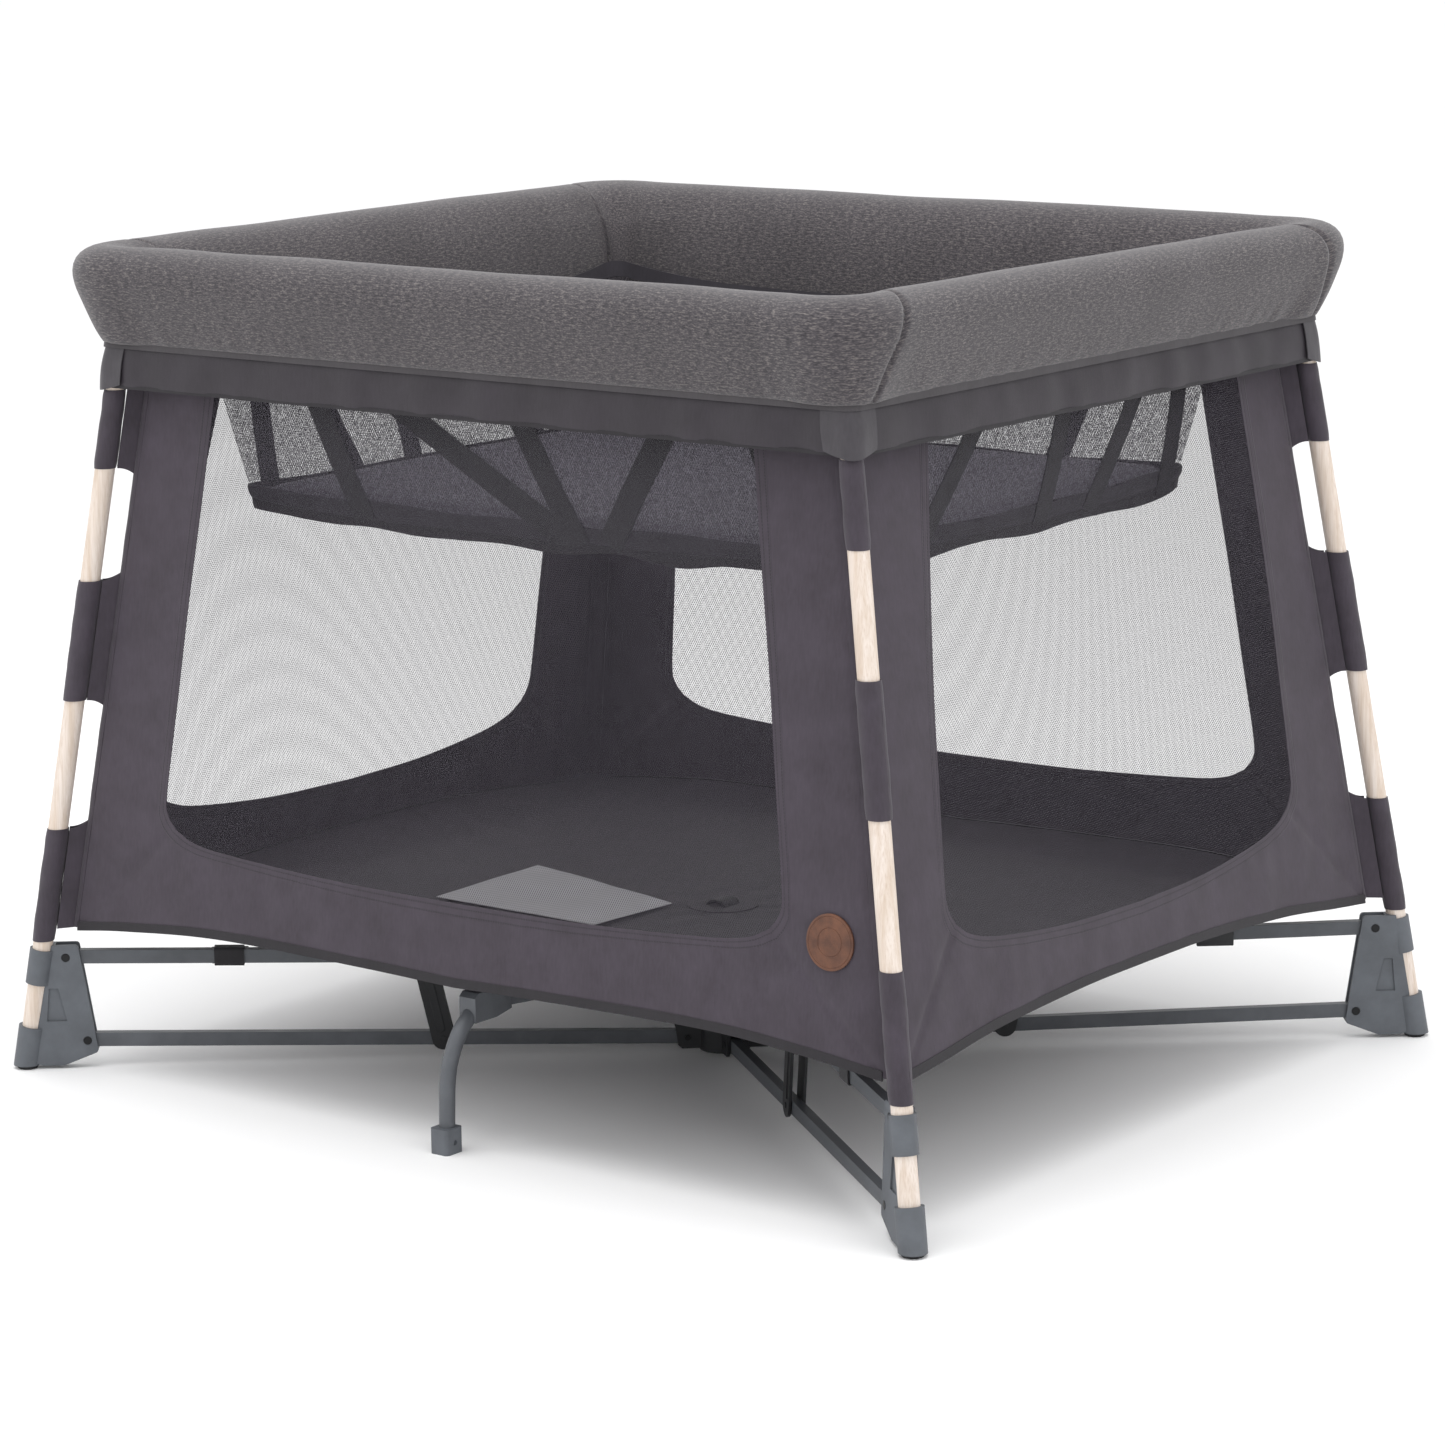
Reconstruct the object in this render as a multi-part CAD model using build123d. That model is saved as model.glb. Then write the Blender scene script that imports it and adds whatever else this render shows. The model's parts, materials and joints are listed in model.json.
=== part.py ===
"""Travel play yard: four leaning legs joined by a folding star frame, four
folding top rails, a fabric shell and a lift-out bassinet insert.

X runs along the long side, Z up, floor at z = 0, centre of the frame at x = y = 0.
Corners: fr (+x, -y), fl (-x, -y), br (+x, +y), bl (-x, +y).
"""
from build123d import *
import math
import os

# ---------------------------------------------------------------- dimensions
LEG_X, LEG_Y = 550.0, 451.6      # leg axis on the floor
LEAN_X, LEAN_Y = 0.148571, 0.086143  # inward lean of a leg, mm per mm of height
LEG_R, LEG_WALL = 10.0, 1.5
RAIL_Z = 785.0                   # axis of the top rails
RAIL_R, RAIL_WALL = 10.0, 1.5
RAIL_INSET = 28.0                # corner pivot to leg axis
LATCH_X, LATCH_Y = 11.65, 8.57   # mid pin above the rail axis
BAR_T, BAR_H = 10.0, 14.0        # star frame bars, thick and tall
LOWER_OUT, UPPER_OUT = (648.0, 29.0), (667.0, 116.0)  # foot pivots, radius and height
LOWER_IN, UPPER_IN = (38.0, 17.4), (57.0, 104.4)      # hub pivots
LINK_LOW, LINK_UP = (287.0, 22.135), (306.0, 109.135)
PIN_R, HOLE_R = 3.0, 3.2
GAP = 0.5                        # clearance beside a bar
EAR_T = 3.5
SUPPORT_IN, SUPPORT_OUT = (42.0, 104.0), (375.0, 135.0)
SUPPORT_R = 7.75
FLOOR_Z, FLOOR_T = 150.0, 3.0
WALL_T = 3.0
WALL_OFF, BAND_OFF = -18.0, 11.0  # inner face of a wall and of its band from the leg axis
INSERT_TOP, INSERT_BASE = 742.0, 572.0
INSERT_X, INSERT_Y = 358.0, 308.0  # half size of the insert at its base

ARM = math.atan2(LEG_Y, LEG_X)
AX, AY = LEG_X - LEAN_X * RAIL_Z, LEG_Y - LEAN_Y * RAIL_Z
STAR = Plane((0, 0, 0), x_dir=(math.cos(ARM), math.sin(ARM), 0),
             z_dir=(math.sin(ARM), -math.cos(ARM), 0))
SIDE_X = Plane((0, AY, 0), x_dir=(1, 0, 0), z_dir=(0, -1, 0))
SIDE_Y = Plane((AX, 0, 0), x_dir=(0, 1, 0), z_dir=(1, 0, 0))
MID_Y = Plane((0, 0, 0), x_dir=(0, 1, 0), z_dir=(1, 0, 0))
BASE = (Align.CENTER, Align.CENTER, Align.MIN)
CORNERS = {"fr": (1, -1), "fl": (-1, -1), "br": (1, 1), "bl": (-1, 1)}

os.makedirs("parts", exist_ok=True)


# ------------------------------------------------------------------- helpers
def poly(*points):
    return make_face(Polyline(*points, close=True))


def slot(p, q, height):
    """A bar outline with round ends about the points p and q."""
    length = math.dist(p, q)
    turn = math.degrees(math.atan2(q[1] - p[1], q[0] - p[0]))
    middle = Pos((p[0] + q[0]) / 2, (p[1] + q[1]) / 2)
    return middle * SlotCenterToCenter(length, height, rotation=turn)


def slab(plane, face, low, high):
    """The outline on the plane, thickened from low to high along its normal."""
    n = plane.z_dir
    return extrude(plane.offset(low) * face, amount=high - low, dir=(n.X, n.Y, n.Z))


def pin(plane, at, radius, low, high):
    return plane.offset(low) * Pos(at[0], at[1], 0) * Cylinder(radius, high - low, align=BASE)


def rod(p, q, radius):
    d = Vector(*q) - Vector(*p)
    return Plane(origin=p, z_dir=(d.X, d.Y, d.Z)) * Cylinder(radius, d.length, align=BASE)


def leg_at(z):
    return (LEG_X - LEAN_X * z, LEG_Y - LEAN_Y * z, z)


def along_leg(low, high, radius):
    return rod(leg_at(low), leg_at(high), radius)


def to_corner(shape, sx, sy):
    if sx < 0:
        shape = mirror(shape, about=Plane.YZ)
    if sy < 0:
        shape = mirror(shape, about=Plane.XZ)
    return shape


def save(name, shape):
    solids = list(shape) if isinstance(shape, (list, tuple)) else [shape]
    solids = [s for one in solids for s in one.solids()]
    out = solids[0] if len(solids) == 1 else Compound(children=solids)
    out.label = name
    export_step(out, f"parts/{name}.step")


# ---------------------------------------------------------------------- legs
def leg_tube():
    return along_leg(9, 776, LEG_R) - along_leg(5, 780, LEG_R - LEG_WALL)


def foot_bracket():
    """Moulded foot: a cup and a ring round the leg, joined by a slotted web for the two bars."""
    cup = along_leg(-6, 44, 13.5) - Pos(LEG_X, LEG_Y, -16.5) * Box(60, 60, 40)
    ring = along_leg(89, 125, 12.5)
    web = poly((654, 129), (688, 129), (695, 92), (703, 46), (704, 7), (694, 3.5), (672, 3.5),
               (637, 17))
    web = fillet(web.vertices().sort_by(Axis.X)[:2], 4)
    body = cup + ring + slab(STAR, web, -9, 9)
    half = BAR_T / 2 + GAP
    path = poly((600, 20.6), (657.5, 20.6), (658.5, 60), (677, 104), (677, 160), (600, 160))
    body -= slab(STAR, path, -half, half)
    panel = poly((668, 50), (688, 50), (685, 84), (676, 84))
    for low in (-10, 7):
        body -= slab(STAR, panel, low, low + 3)
    for at in (LOWER_OUT, UPPER_OUT):
        body -= pin(STAR, at, PIN_R, -12, 12)
        for low in (-12, 7.8):
            body -= pin(STAR, at, 4.3, low, low + 4.2)
    body -= along_leg(9 - 1.7, 200, LEG_R + 0.05)
    return body - pin(Plane.XY, (LEG_X - 1, LEG_Y - 0.6), 3.1, 0, 12)


def bracket_bolts():
    bolts = []
    for at in (LOWER_OUT, UPPER_OUT):
        bolt = pin(STAR, at, PIN_R - 0.05, -8.6, 8.6)
        for low in (-9.4, 7.9):
            bolt += pin(STAR, at, 4.1, low, low + 1.5)
        bolts.append(bolt)
    return bolts


def foot_pad():
    pad = pin(Plane.XY, (LEG_X - 1, LEG_Y - 0.6), 10.5, 0, 3.5)
    pad = chamfer(pad.edges().group_by(Axis.Z)[0], 1.0)
    return pad + pin(Plane.XY, (LEG_X - 1, LEG_Y - 0.6), 3.0, 3.5, 7)


def corner_joint():
    """Cap on the leg top with a pair of ears and a pin for each of the two rails."""
    body = along_leg(750, 799, 13.5)
    for plane, full in ((SIDE_X, AX), (SIDE_Y, AY)):
        pivot = (full - RAIL_INSET, RAIL_Z)
        ear = slot((full, RAIL_Z), pivot, 20)
        for low in (-9, 9 - EAR_T):
            body += slab(plane, ear, low, low + EAR_T)
        body += pin(plane, pivot, PIN_R, -9, 9)
    return body - along_leg(740, 776.5, LEG_R + 0.05)


# --------------------------------------------------------------------- rails
def half_rail(full, latch, forked):
    """One half of a top rail, along +x in the plane y = 0 from the mid pin to the corner pivot."""
    plane = Plane.XZ
    end, mid = (full - RAIL_INSET, RAIL_Z), (0, RAIL_Z + latch)
    start, stop = 46.0, end[0] - 13
    tube = Pos(start, 0, RAIL_Z) * Rot(0, 90, 0) * Cylinder(RAIL_R, stop - start, align=BASE)
    tube -= Pos(start - 1, 0, RAIL_Z) * Rot(0, 90, 0) * Cylinder(RAIL_R - RAIL_WALL, 400, align=BASE)
    tongue = slab(plane, slot((end[0] - 26, end[1]), end, 17.9), -5, 5)
    tongue -= pin(plane, end, HOLE_R, -9, 9)
    arm = poly((62, 776.6), (62, 793.4), (34, mid[1] + 8), (0, mid[1] + 8), (0, mid[1] - 8),
               (20, 785), (44, 776.6))
    arm = arm + Pos(*mid) * Circle(8)
    if forked:
        head = slab(plane, arm, -8, 8)
        head -= slab(plane, poly((-20, 740), (34, 740), (34, 830), (-20, 830)), -4.5, 4.5)
        head += pin(plane, mid, PIN_R, -8, 8)
    else:
        head = slab(plane, arm, -4, 4) - pin(plane, mid, 4.0, -9, 9)
    return tube + tongue + head


# ---------------------------------------------------------------- star frame
def bar(inner, outer, holes):
    body = slab(STAR, slot(inner, outer, BAR_H), -BAR_T / 2, BAR_T / 2)
    for at in (inner, outer, *holes):
        body -= pin(STAR, at, HOLE_R, -10, 10)
    return body


def arm_link():
    """Two ribbed side plates across both bars, riveted through them."""
    body = None
    for low in (-BAR_T / 2 - GAP - 3, BAR_T / 2 + GAP):
        plate = slab(STAR, slot(LINK_LOW, LINK_UP, 23), low, low + 3)
        rib_low = low - 1 if low < 0 else low + 3
        rib = slab(STAR, slot((LINK_LOW[0] + 2.4, 33), (LINK_UP[0] - 2.4, 98), 8), rib_low,
                   rib_low + 1)
        body = plate + rib if body is None else body + plate + rib
    for at in (LINK_LOW, LINK_UP):
        body += pin(STAR, at, PIN_R, -9.5, 9.5)
    return body


def hub():
    """Post with five pairs of cheeks: four for the bars and two short ones for the side supports."""
    body = Pos(0, 0, 4) * Cylinder(26, 110, align=BASE)
    inner, outer = BAR_T / 2 + GAP, BAR_T / 2 + GAP + EAR_T
    cheek = poly((0, 6), (44, 6), (48, 10), (50, 26), (69, 96), (69, 110), (66, 114), (0, 114))
    stub = poly((0, 60), (30, 60), (52, 92), (52, 112), (50, 114), (0, 114))
    for plane, outline in [(STAR, cheek), (MID_Y, stub)]:
        for low in (-outer, inner):
            one = slab(plane, outline, low, low + EAR_T)
            for sx, sy in CORNERS.values():
                body += to_corner(one, sx, sy)
    drill = [pin(STAR, at, PIN_R + 0.05, -12, 12) for at in (LOWER_IN, UPPER_IN)]
    drill.append(pin(MID_Y, SUPPORT_IN, PIN_R + 0.05, -12, 12))
    for one in drill:
        for sx, sy in CORNERS.values():
            body -= to_corner(one, sx, sy)
    return body


def hub_pins():
    pins = []
    for sx, sy in CORNERS.values():
        for at in (LOWER_IN, UPPER_IN):
            pins.append(to_corner(pin(STAR, at, PIN_R, -9.6, 9.6), sx, sy))
    for sy in (1, -1):
        pins.append(to_corner(pin(MID_Y, SUPPORT_IN, PIN_R, -9.6, 9.6), 1, sy))
    return pins


def pull_strap():
    """Webbing loop on the hub that lifts the star frame."""
    outer = poly((-15, 0), (15, 0), (15, 34), (9, 42), (-9, 42), (-15, 34))
    inner = poly((-12.5, -1), (12.5, -1), (12.5, 33), (8, 39.5), (-8, 39.5), (-12.5, 33))
    return Pos(0, 0, 120) * slab(Plane.XZ, outer - inner, -12.5, 12.5)


def support_arm():
    body = slab(MID_Y, slot(SUPPORT_IN, SUPPORT_OUT, BAR_H), -BAR_T / 2, BAR_T / 2)
    clamp = poly((350, 124), (350, 145), (358, 148.5), (399, 148.5), (404, 144), (404, 120), (372, 120))
    body += slab(MID_Y, clamp, -10, 10)
    body -= pin(MID_Y, SUPPORT_IN, HOLE_R, -12, 12)
    return body - support_tube(SUPPORT_R + 0.05)


def support_tube(radius):
    line = Spline((362, 134), (394, 129), (414, 115), (427, 96), (435, 72), (437, 48), (438.5, 6),
                  tangents=[(1, 0), (0.03, -1)])
    path = MID_Y * line
    start = path @ 0
    section = Plane(origin=start, z_dir=path % 0) * Circle(radius)
    return sweep(section, path=path)


def support_leg():
    return support_tube(SUPPORT_R) - support_tube(SUPPORT_R - 1.5)


def support_foot():
    cap = Pos(0, 439.5, 0) * Box(22, 24, 25, align=BASE)
    cap = fillet(cap.edges().filter_by(Axis.Z), 4)
    return cap - support_tube(SUPPORT_R + 0.05) - pin(MID_Y, (439.5, 11), 2.5, 9, 12)


# -------------------------------------------------------------------- fabric
def wall_plane(long_side):
    """Plane of a side wall: u along the side, v up the lean, normal outward."""
    if long_side:
        return Plane((0, LEG_Y, 0), x_dir=(-1, 0, 0), z_dir=(0, 1, LEAN_Y)), LEAN_X, LEG_X, LEAN_Y
    return Plane((LEG_X, 0, 0), x_dir=(0, 1, 0), z_dir=(1, 0, LEAN_X)), LEAN_Y, LEG_Y, LEAN_X


LONG_HEM = ((0.6, 163), (129, 164), (305, 166), (440, 155), (512, 148))
SHORT_HEM = ((0.6, 171), (109, 170), (278, 164), (416, 149))
SLEEVES = ((134, 250), (383, 504), (617, 700))


def half_wall(long_side):
    """Half a side wall, hung just inside the legs, and the band that covers its top outside them."""
    plane, lean_u, foot, lean_n = wall_plane(long_side)
    up = math.sqrt(1 + lean_n ** 2)

    def at(u, z):
        return (-u if long_side else u, z * up)

    def edge(z, extra):
        return at(foot - lean_u * z + extra, z)
    hem = [at(*p) for p in (LONG_HEM if long_side else SHORT_HEM)]
    corner = WALL_OFF + WALL_T
    wall = poly(*hem, edge(134, corner), edge(806, corner), at(0.6, 806))
    band = poly(at(0.6, 700), edge(700, 14), edge(744, 14), at(0.6, 744))
    return slab(plane, wall, WALL_OFF, corner) + slab(plane, band, BAND_OFF, BAND_OFF + WALL_T)


def leg_sleeve(low, high):
    """A sleeve round the leg and the fin that joins it to the corner of the walls."""
    def beside(z, step):
        x, y, _ = leg_at(z)
        return (x - step, y - step, z)
    fin = make_face(Polyline(beside(low, 8), beside(high, 8), beside(high, 17), beside(low, 17),
                             close=True))
    tube = along_leg(low, high, 12) - along_leg(low - 5, high + 5, 10.3)
    return tube + extrude(fin, amount=1.3, both=True)


RIM = ((14, 741), (19.5, 741), (34, 766), (48, 797), (52, 815), (46, 829), (30, 837.5),
       (8, 837), (-12, 824), (-24, 797), (-31, 762), (-33, 725), (-33, 701), (-28, 700),
       (-26, 762), (-19, 796), (-9, 815), (10, 826), (28, 826), (38, 814), (34, 797),
       (22, 772), (16, 760))


def rim_run(long_side):
    """Half a padded rim from mid side to the corner mitre."""
    full, off = (AX, AY) if long_side else (AY, AX)
    plane = Plane((0.6, 0, 0), x_dir=(0, 1, 0), z_dir=(1, 0, 0))
    run = extrude(plane * (Pos(off, 0) * poly(*RIM)), amount=full + 60, dir=(1, 0, 0))
    mitre = poly((full - 400, off - 400), (full + 400, off - 400), (full + 400, off + 400))
    run -= Pos(0, 0, 600) * extrude(mitre, amount=400, dir=(0, 0, 1))
    if not long_side:
        run = mirror(run, about=Plane((0, 0, 0), x_dir=(0, 0, 1), z_dir=(1, -1, 0)))
    return run


def fabric_corner():
    body = half_wall(True) + half_wall(False)
    for low, high in SLEEVES:
        body += leg_sleeve(low, high)
    body += rim_run(True) + rim_run(False)
    # the sleeves and the walls keep clear of the leg, its foot and its cap
    for low, high, radius in ((100, 748, 10.3), (60, 131, 14.2), (748, 802, 14.2)):
        body -= along_leg(low, high, radius)
    return body


def floor_quarter():
    half = poly((1, 1), (508, 1), (508, 419), (1, 419))
    body = extrude(Pos(0, 0, FLOOR_Z) * half, amount=FLOOR_T, dir=(0, 0, 1))
    body -= Pos(0, 0, FLOOR_Z - 5) * Cylinder(34, 20, align=BASE)
    return body - along_leg(130, 180, 15)


# -------------------------------------------------------------------- insert
def tray(grow, low, high, spread=0.0):
    """Rounded tapering block; spread is the growth in half-width from bottom to top."""
    half_x, half_y = INSERT_X + grow, INSERT_Y + grow
    bottom = Pos(0, 0, low) * RectangleRounded(2 * half_x, 2 * half_y, 20)
    top = RectangleRounded(2 * (half_x + spread), 2 * (half_y + spread * 0.8), 24)
    top = Pos(0, 0, high) * top
    return loft([bottom, top])


def insert_shell():
    taper = 38.0
    outer = tray(0, INSERT_BASE, INSERT_TOP, taper)
    inner = tray(-3, INSERT_BASE + 4, INSERT_TOP + 2, taper)
    return outer - inner


def insert_mattress():
    pad = Pos(0, 0, INSERT_BASE + 4.3) * RectangleRounded(702, 602, 17)
    pad = extrude(pad, amount=23, dir=(0, 0, 1))
    return fillet(pad.edges().group_by(Axis.Z)[-1], 8)


# -------------------------------------------------------------------- export
corner_pieces = {
    "leg_tube": leg_tube(), "foot_bracket": foot_bracket(), "bracket_bolts": bracket_bolts(),
    "foot_pad": foot_pad(), "corner_joint": corner_joint(), "fabric_corner": fabric_corner(),
    "lower_bar": bar(LOWER_IN, LOWER_OUT, [LINK_LOW]),
    "upper_bar": bar(UPPER_IN, UPPER_OUT, [LINK_UP]),
    "arm_link": arm_link(), "floor_quarter": floor_quarter(),
}
for corner, (sx, sy) in CORNERS.items():
    for name, shape in corner_pieces.items():
        shapes = shape if isinstance(shape, list) else [shape]
        save(f"{name}_{corner}", [to_corner(s, sx, sy) for s in shapes])

for side, sy in (("front", -1), ("back", 1)):
    for hand, sx, forked in (("left", -1, True), ("right", 1, False)):
        rail = Pos(0, sy * AY, 0) * half_rail(AX, LATCH_X, forked)
        save(f"rail_{side}_{hand}", mirror(rail, about=Plane.YZ) if sx < 0 else rail)
    support = {"support_arm": support_arm(), "support_leg": support_leg(),
               "support_foot": support_foot()}
    for name, shape in support.items():
        save(f"{name}_{side}", to_corner(shape, 1, sy))
for side, sx in (("left", -1), ("right", 1)):
    for hand, sy, forked in (("front", -1, True), ("back", 1, False)):
        rail = Pos(sx * AX, 0, 0) * Rot(0, 0, 90) * half_rail(AY, LATCH_Y, forked)
        save(f"rail_{side}_{hand}", mirror(rail, about=Plane.XZ) if sy < 0 else rail)

save("hub_base", hub())
save("hub_pins", hub_pins())
save("hub_cap", Pos(0, 0, 114) * Cylinder(30, 5.5, align=BASE))
save("pull_strap", pull_strap())
save("insert_shell", insert_shell())
save("insert_mattress", insert_mattress())
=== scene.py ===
# %% [markdown]
# # Travel play yard
# A folding play yard: four leaning legs on a star frame, a cloth shell with mesh windows,
# a thick padded rim and a bassinet insert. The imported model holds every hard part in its
# true place, so the lesson keeps those and makes the soft goods and the finishes new.

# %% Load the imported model
import json
import math
import bpy
from mathutils import Matrix, Vector, noise


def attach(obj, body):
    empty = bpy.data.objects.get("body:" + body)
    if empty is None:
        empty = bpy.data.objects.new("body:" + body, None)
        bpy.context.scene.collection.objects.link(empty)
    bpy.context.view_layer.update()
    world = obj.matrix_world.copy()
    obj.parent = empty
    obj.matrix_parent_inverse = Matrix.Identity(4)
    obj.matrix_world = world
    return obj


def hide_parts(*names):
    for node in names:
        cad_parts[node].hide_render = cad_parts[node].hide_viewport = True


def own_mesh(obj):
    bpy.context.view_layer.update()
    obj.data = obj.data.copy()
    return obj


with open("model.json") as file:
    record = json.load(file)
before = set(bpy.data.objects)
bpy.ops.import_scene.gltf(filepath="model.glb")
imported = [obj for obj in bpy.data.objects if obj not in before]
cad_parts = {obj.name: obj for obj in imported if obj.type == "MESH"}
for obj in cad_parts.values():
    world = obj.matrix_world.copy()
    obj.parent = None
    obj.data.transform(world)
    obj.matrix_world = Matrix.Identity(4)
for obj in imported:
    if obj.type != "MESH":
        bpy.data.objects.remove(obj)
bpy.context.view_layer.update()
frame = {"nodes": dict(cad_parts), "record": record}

CORNERS = {"fr": (1, -1), "fl": (-1, -1), "br": (1, 1), "bl": (-1, 1)}

# %% [markdown]
# ## Camera
# A long lens from a little above the rim keeps the sides almost parallel. The camera's
# three axes are worked out from its bearing, its height angle and a small roll.

# %% Camera
EYE = Vector((2.88996, -3.79437, 1.30948))
BEARING, TILT, ROLL = math.radians(37.2687), math.radians(11.4537), math.radians(-0.7779)
LENS = 120.05


def add_camera():
    ahead = Vector((-math.sin(BEARING) * math.cos(TILT), math.cos(BEARING) * math.cos(TILT),
                    -math.sin(TILT)))
    level = ahead.cross(Vector((0, 0, 1))).normalized()
    above = level.cross(ahead)
    right = level * math.cos(ROLL) + above * math.sin(ROLL)
    up = above * math.cos(ROLL) - level * math.sin(ROLL)
    turn = Matrix((right, up, -ahead)).transposed()
    bpy.ops.object.camera_add(location=EYE, rotation=turn.to_euler())
    eye = bpy.context.object
    eye.name = "camera"
    eye.data.lens, eye.data.sensor_width = LENS, 36
    eye.data.clip_end = 200
    bpy.context.scene.camera = eye


bpy.ops.object.select_all(action="DESELECT")
add_camera()
print("camera", tuple(round(v, 3) for v in EYE))

# %% [markdown]
# ## Floor and light
# A white floor and a bright, even sky give soft contact shadows. One large soft light
# above and one on each side shape the padded rim without hard highlights.

# %% Floor, sky and lights
def add_softbox(name, place, size, power):
    bpy.ops.object.light_add(type="AREA", location=place)
    lamp = bpy.context.object
    lamp.name = name
    lamp.data.shape, lamp.data.size, lamp.data.energy = "SQUARE", size, power
    lamp.rotation_euler = (Vector((0, 0, 0.45)) - Vector(place)).to_track_quat("-Z", "Y").to_euler()


def add_stage():
    bpy.ops.mesh.primitive_plane_add(size=60)
    ground = bpy.context.object
    ground.name = "stage_floor"
    paint = bpy.data.materials.new("stage_white")
    paint.use_nodes = True
    finish = paint.node_tree.nodes["Principled BSDF"]
    finish.inputs["Base Color"].default_value = (0.97, 0.97, 0.972, 1)
    finish.inputs["Roughness"].default_value = 0.8
    finish.inputs["Specular IOR Level"].default_value = 0.1
    ground.data.materials.append(paint)


def add_sky(strength):
    world = bpy.data.worlds.new("sky")
    bpy.context.scene.world = world
    world.use_nodes = True
    back = world.node_tree.nodes["Background"]
    back.inputs["Color"].default_value = (1, 1, 1, 1)
    back.inputs["Strength"].default_value = strength


add_stage()
add_sky(1.05)
add_softbox("light_above", (0.3, -0.6, 3.4), 2.6, 56)
add_softbox("light_left", (-2.6, -3.0, 1.9), 2.0, 18)
add_softbox("light_right", (3.6, -0.6, 2.2), 2.0, 13)
bpy.context.scene.view_settings.view_transform = "Standard"
print("stage ready")

# %% [markdown]
# ## Finishes: helpers
# Each finish is a Principled material. The effects that several share, such as a weave or
# a fine grain, are node groups that give out only a colour, a mask or a height.

# %% Node helpers
def node(tree, kind, values=None, **settings):
    made = tree.nodes.new("ShaderNode" + kind)
    for key, value in settings.items():
        setattr(made, key, value)
    for key, value in (values or {}).items():
        if isinstance(value, bpy.types.NodeSocket):
            tree.links.new(value, made.inputs[key])
        else:
            made.inputs[key].default_value = value
    return made


def maths(tree, how, a, b=0.0, c=0.0):
    return node(tree, "Math", {0: a, 1: b, 2: c}, operation=how).outputs[0]


def ramp(tree, value, low, high, to_low=0.0, to_high=1.0):
    made = node(tree, "MapRange", {"Value": value, "From Min": low, "From Max": high,
                                   "To Min": to_low, "To Max": to_high})
    return made.outputs["Result"]


def mix(tree, share, first, second):
    made = node(tree, "Mix", data_type="RGBA")
    for key, value in ((0, share), (6, first), (7, second)):
        if isinstance(value, bpy.types.NodeSocket):
            tree.links.new(value, made.inputs[key])
        else:
            made.inputs[key].default_value = value
    return made.outputs[2]


def noise_at(tree, place, scale, detail=2.0, rough=0.5):
    made = node(tree, "TexNoise", {"Vector": place, "Scale": scale, "Detail": detail,
                                   "Roughness": rough})
    return made.outputs["Fac"]


def stretch(tree, place, scale):
    return node(tree, "VectorMath", {0: place, 1: scale}, operation="MULTIPLY").outputs[0]


def new_group(name, inputs, outputs):
    tree = bpy.data.node_groups.new(name, "ShaderNodeTree")
    for label, kind, value in inputs:
        made = tree.interface.new_socket(label, in_out="INPUT", socket_type="NodeSocket" + kind)
        if value is not None:
            made.default_value = value
    for label, kind in outputs:
        tree.interface.new_socket(label, in_out="OUTPUT", socket_type="NodeSocket" + kind)
    return tree, tree.nodes.new("NodeGroupInput").outputs, tree.nodes.new("NodeGroupOutput").inputs


def use(tree, group, **values):
    made = tree.nodes.new("ShaderNodeGroup")
    made.node_tree = group
    for key, value in values.items():
        key = key.replace("_", " ")
        if isinstance(value, bpy.types.NodeSocket):
            tree.links.new(value, made.inputs[key])
        else:
            made.inputs[key].default_value = value
    return made.outputs


print("node helpers ready")

# %% [markdown]
# ## Effect: woven cloth
# The shell is a tight plain weave. Two crossed sine waves make its threads, and a slow
# noise makes the cloth a little lighter and darker from place to place.

# %% Weave group
def make_weave():
    tree, given, out = new_group(
        "plain_weave",
        [("Place", "Vector", None), ("Threads", "Float", 5200.0), ("Dark", "Color", (0, 0, 0, 1)),
         ("Light", "Color", (1, 1, 1, 1))],
        [("Color", "Color"), ("Height", "Float")])
    part = node(tree, "SeparateXYZ", {"Vector": given["Place"]}).outputs
    flat = maths(tree, "ADD", part[0], part[1])
    across = maths(tree, "SINE", maths(tree, "MULTIPLY", flat, given["Threads"]))
    down = maths(tree, "SINE", maths(tree, "MULTIPLY", part[2], given["Threads"]))
    thread = maths(tree, "MULTIPLY", across, down)
    cloudy = noise_at(tree, given["Place"], 26.0, 5.0, 0.62)
    slub = noise_at(tree, stretch(tree, given["Place"], (420.0, 420.0, 90.0)), 1.0, 1.0)
    tone = maths(tree, "ADD", maths(tree, "MULTIPLY", thread, 0.10),
                 maths(tree, "ADD", maths(tree, "MULTIPLY", cloudy, 0.75),
                       maths(tree, "MULTIPLY", slub, 0.35)))
    tree.links.new(mix(tree, ramp(tree, tone, 0.25, 0.85), given["Dark"], given["Light"]),
                   out["Color"])
    tree.links.new(maths(tree, "ADD", maths(tree, "MULTIPLY", thread, 0.35),
                         maths(tree, "MULTIPLY", slub, 0.6)), out["Height"])
    return tree


WEAVE = make_weave()
print("made", WEAVE.name)

# %% [markdown]
# ## Effect: melange
# The rim's knit mixes dark and light yarns, which show as short streaks along the rim.
# Noise stretched along the rim gives the streaks; it reads the rim's own UV map, in
# metres, so the streaks follow it round each corner.

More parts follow.
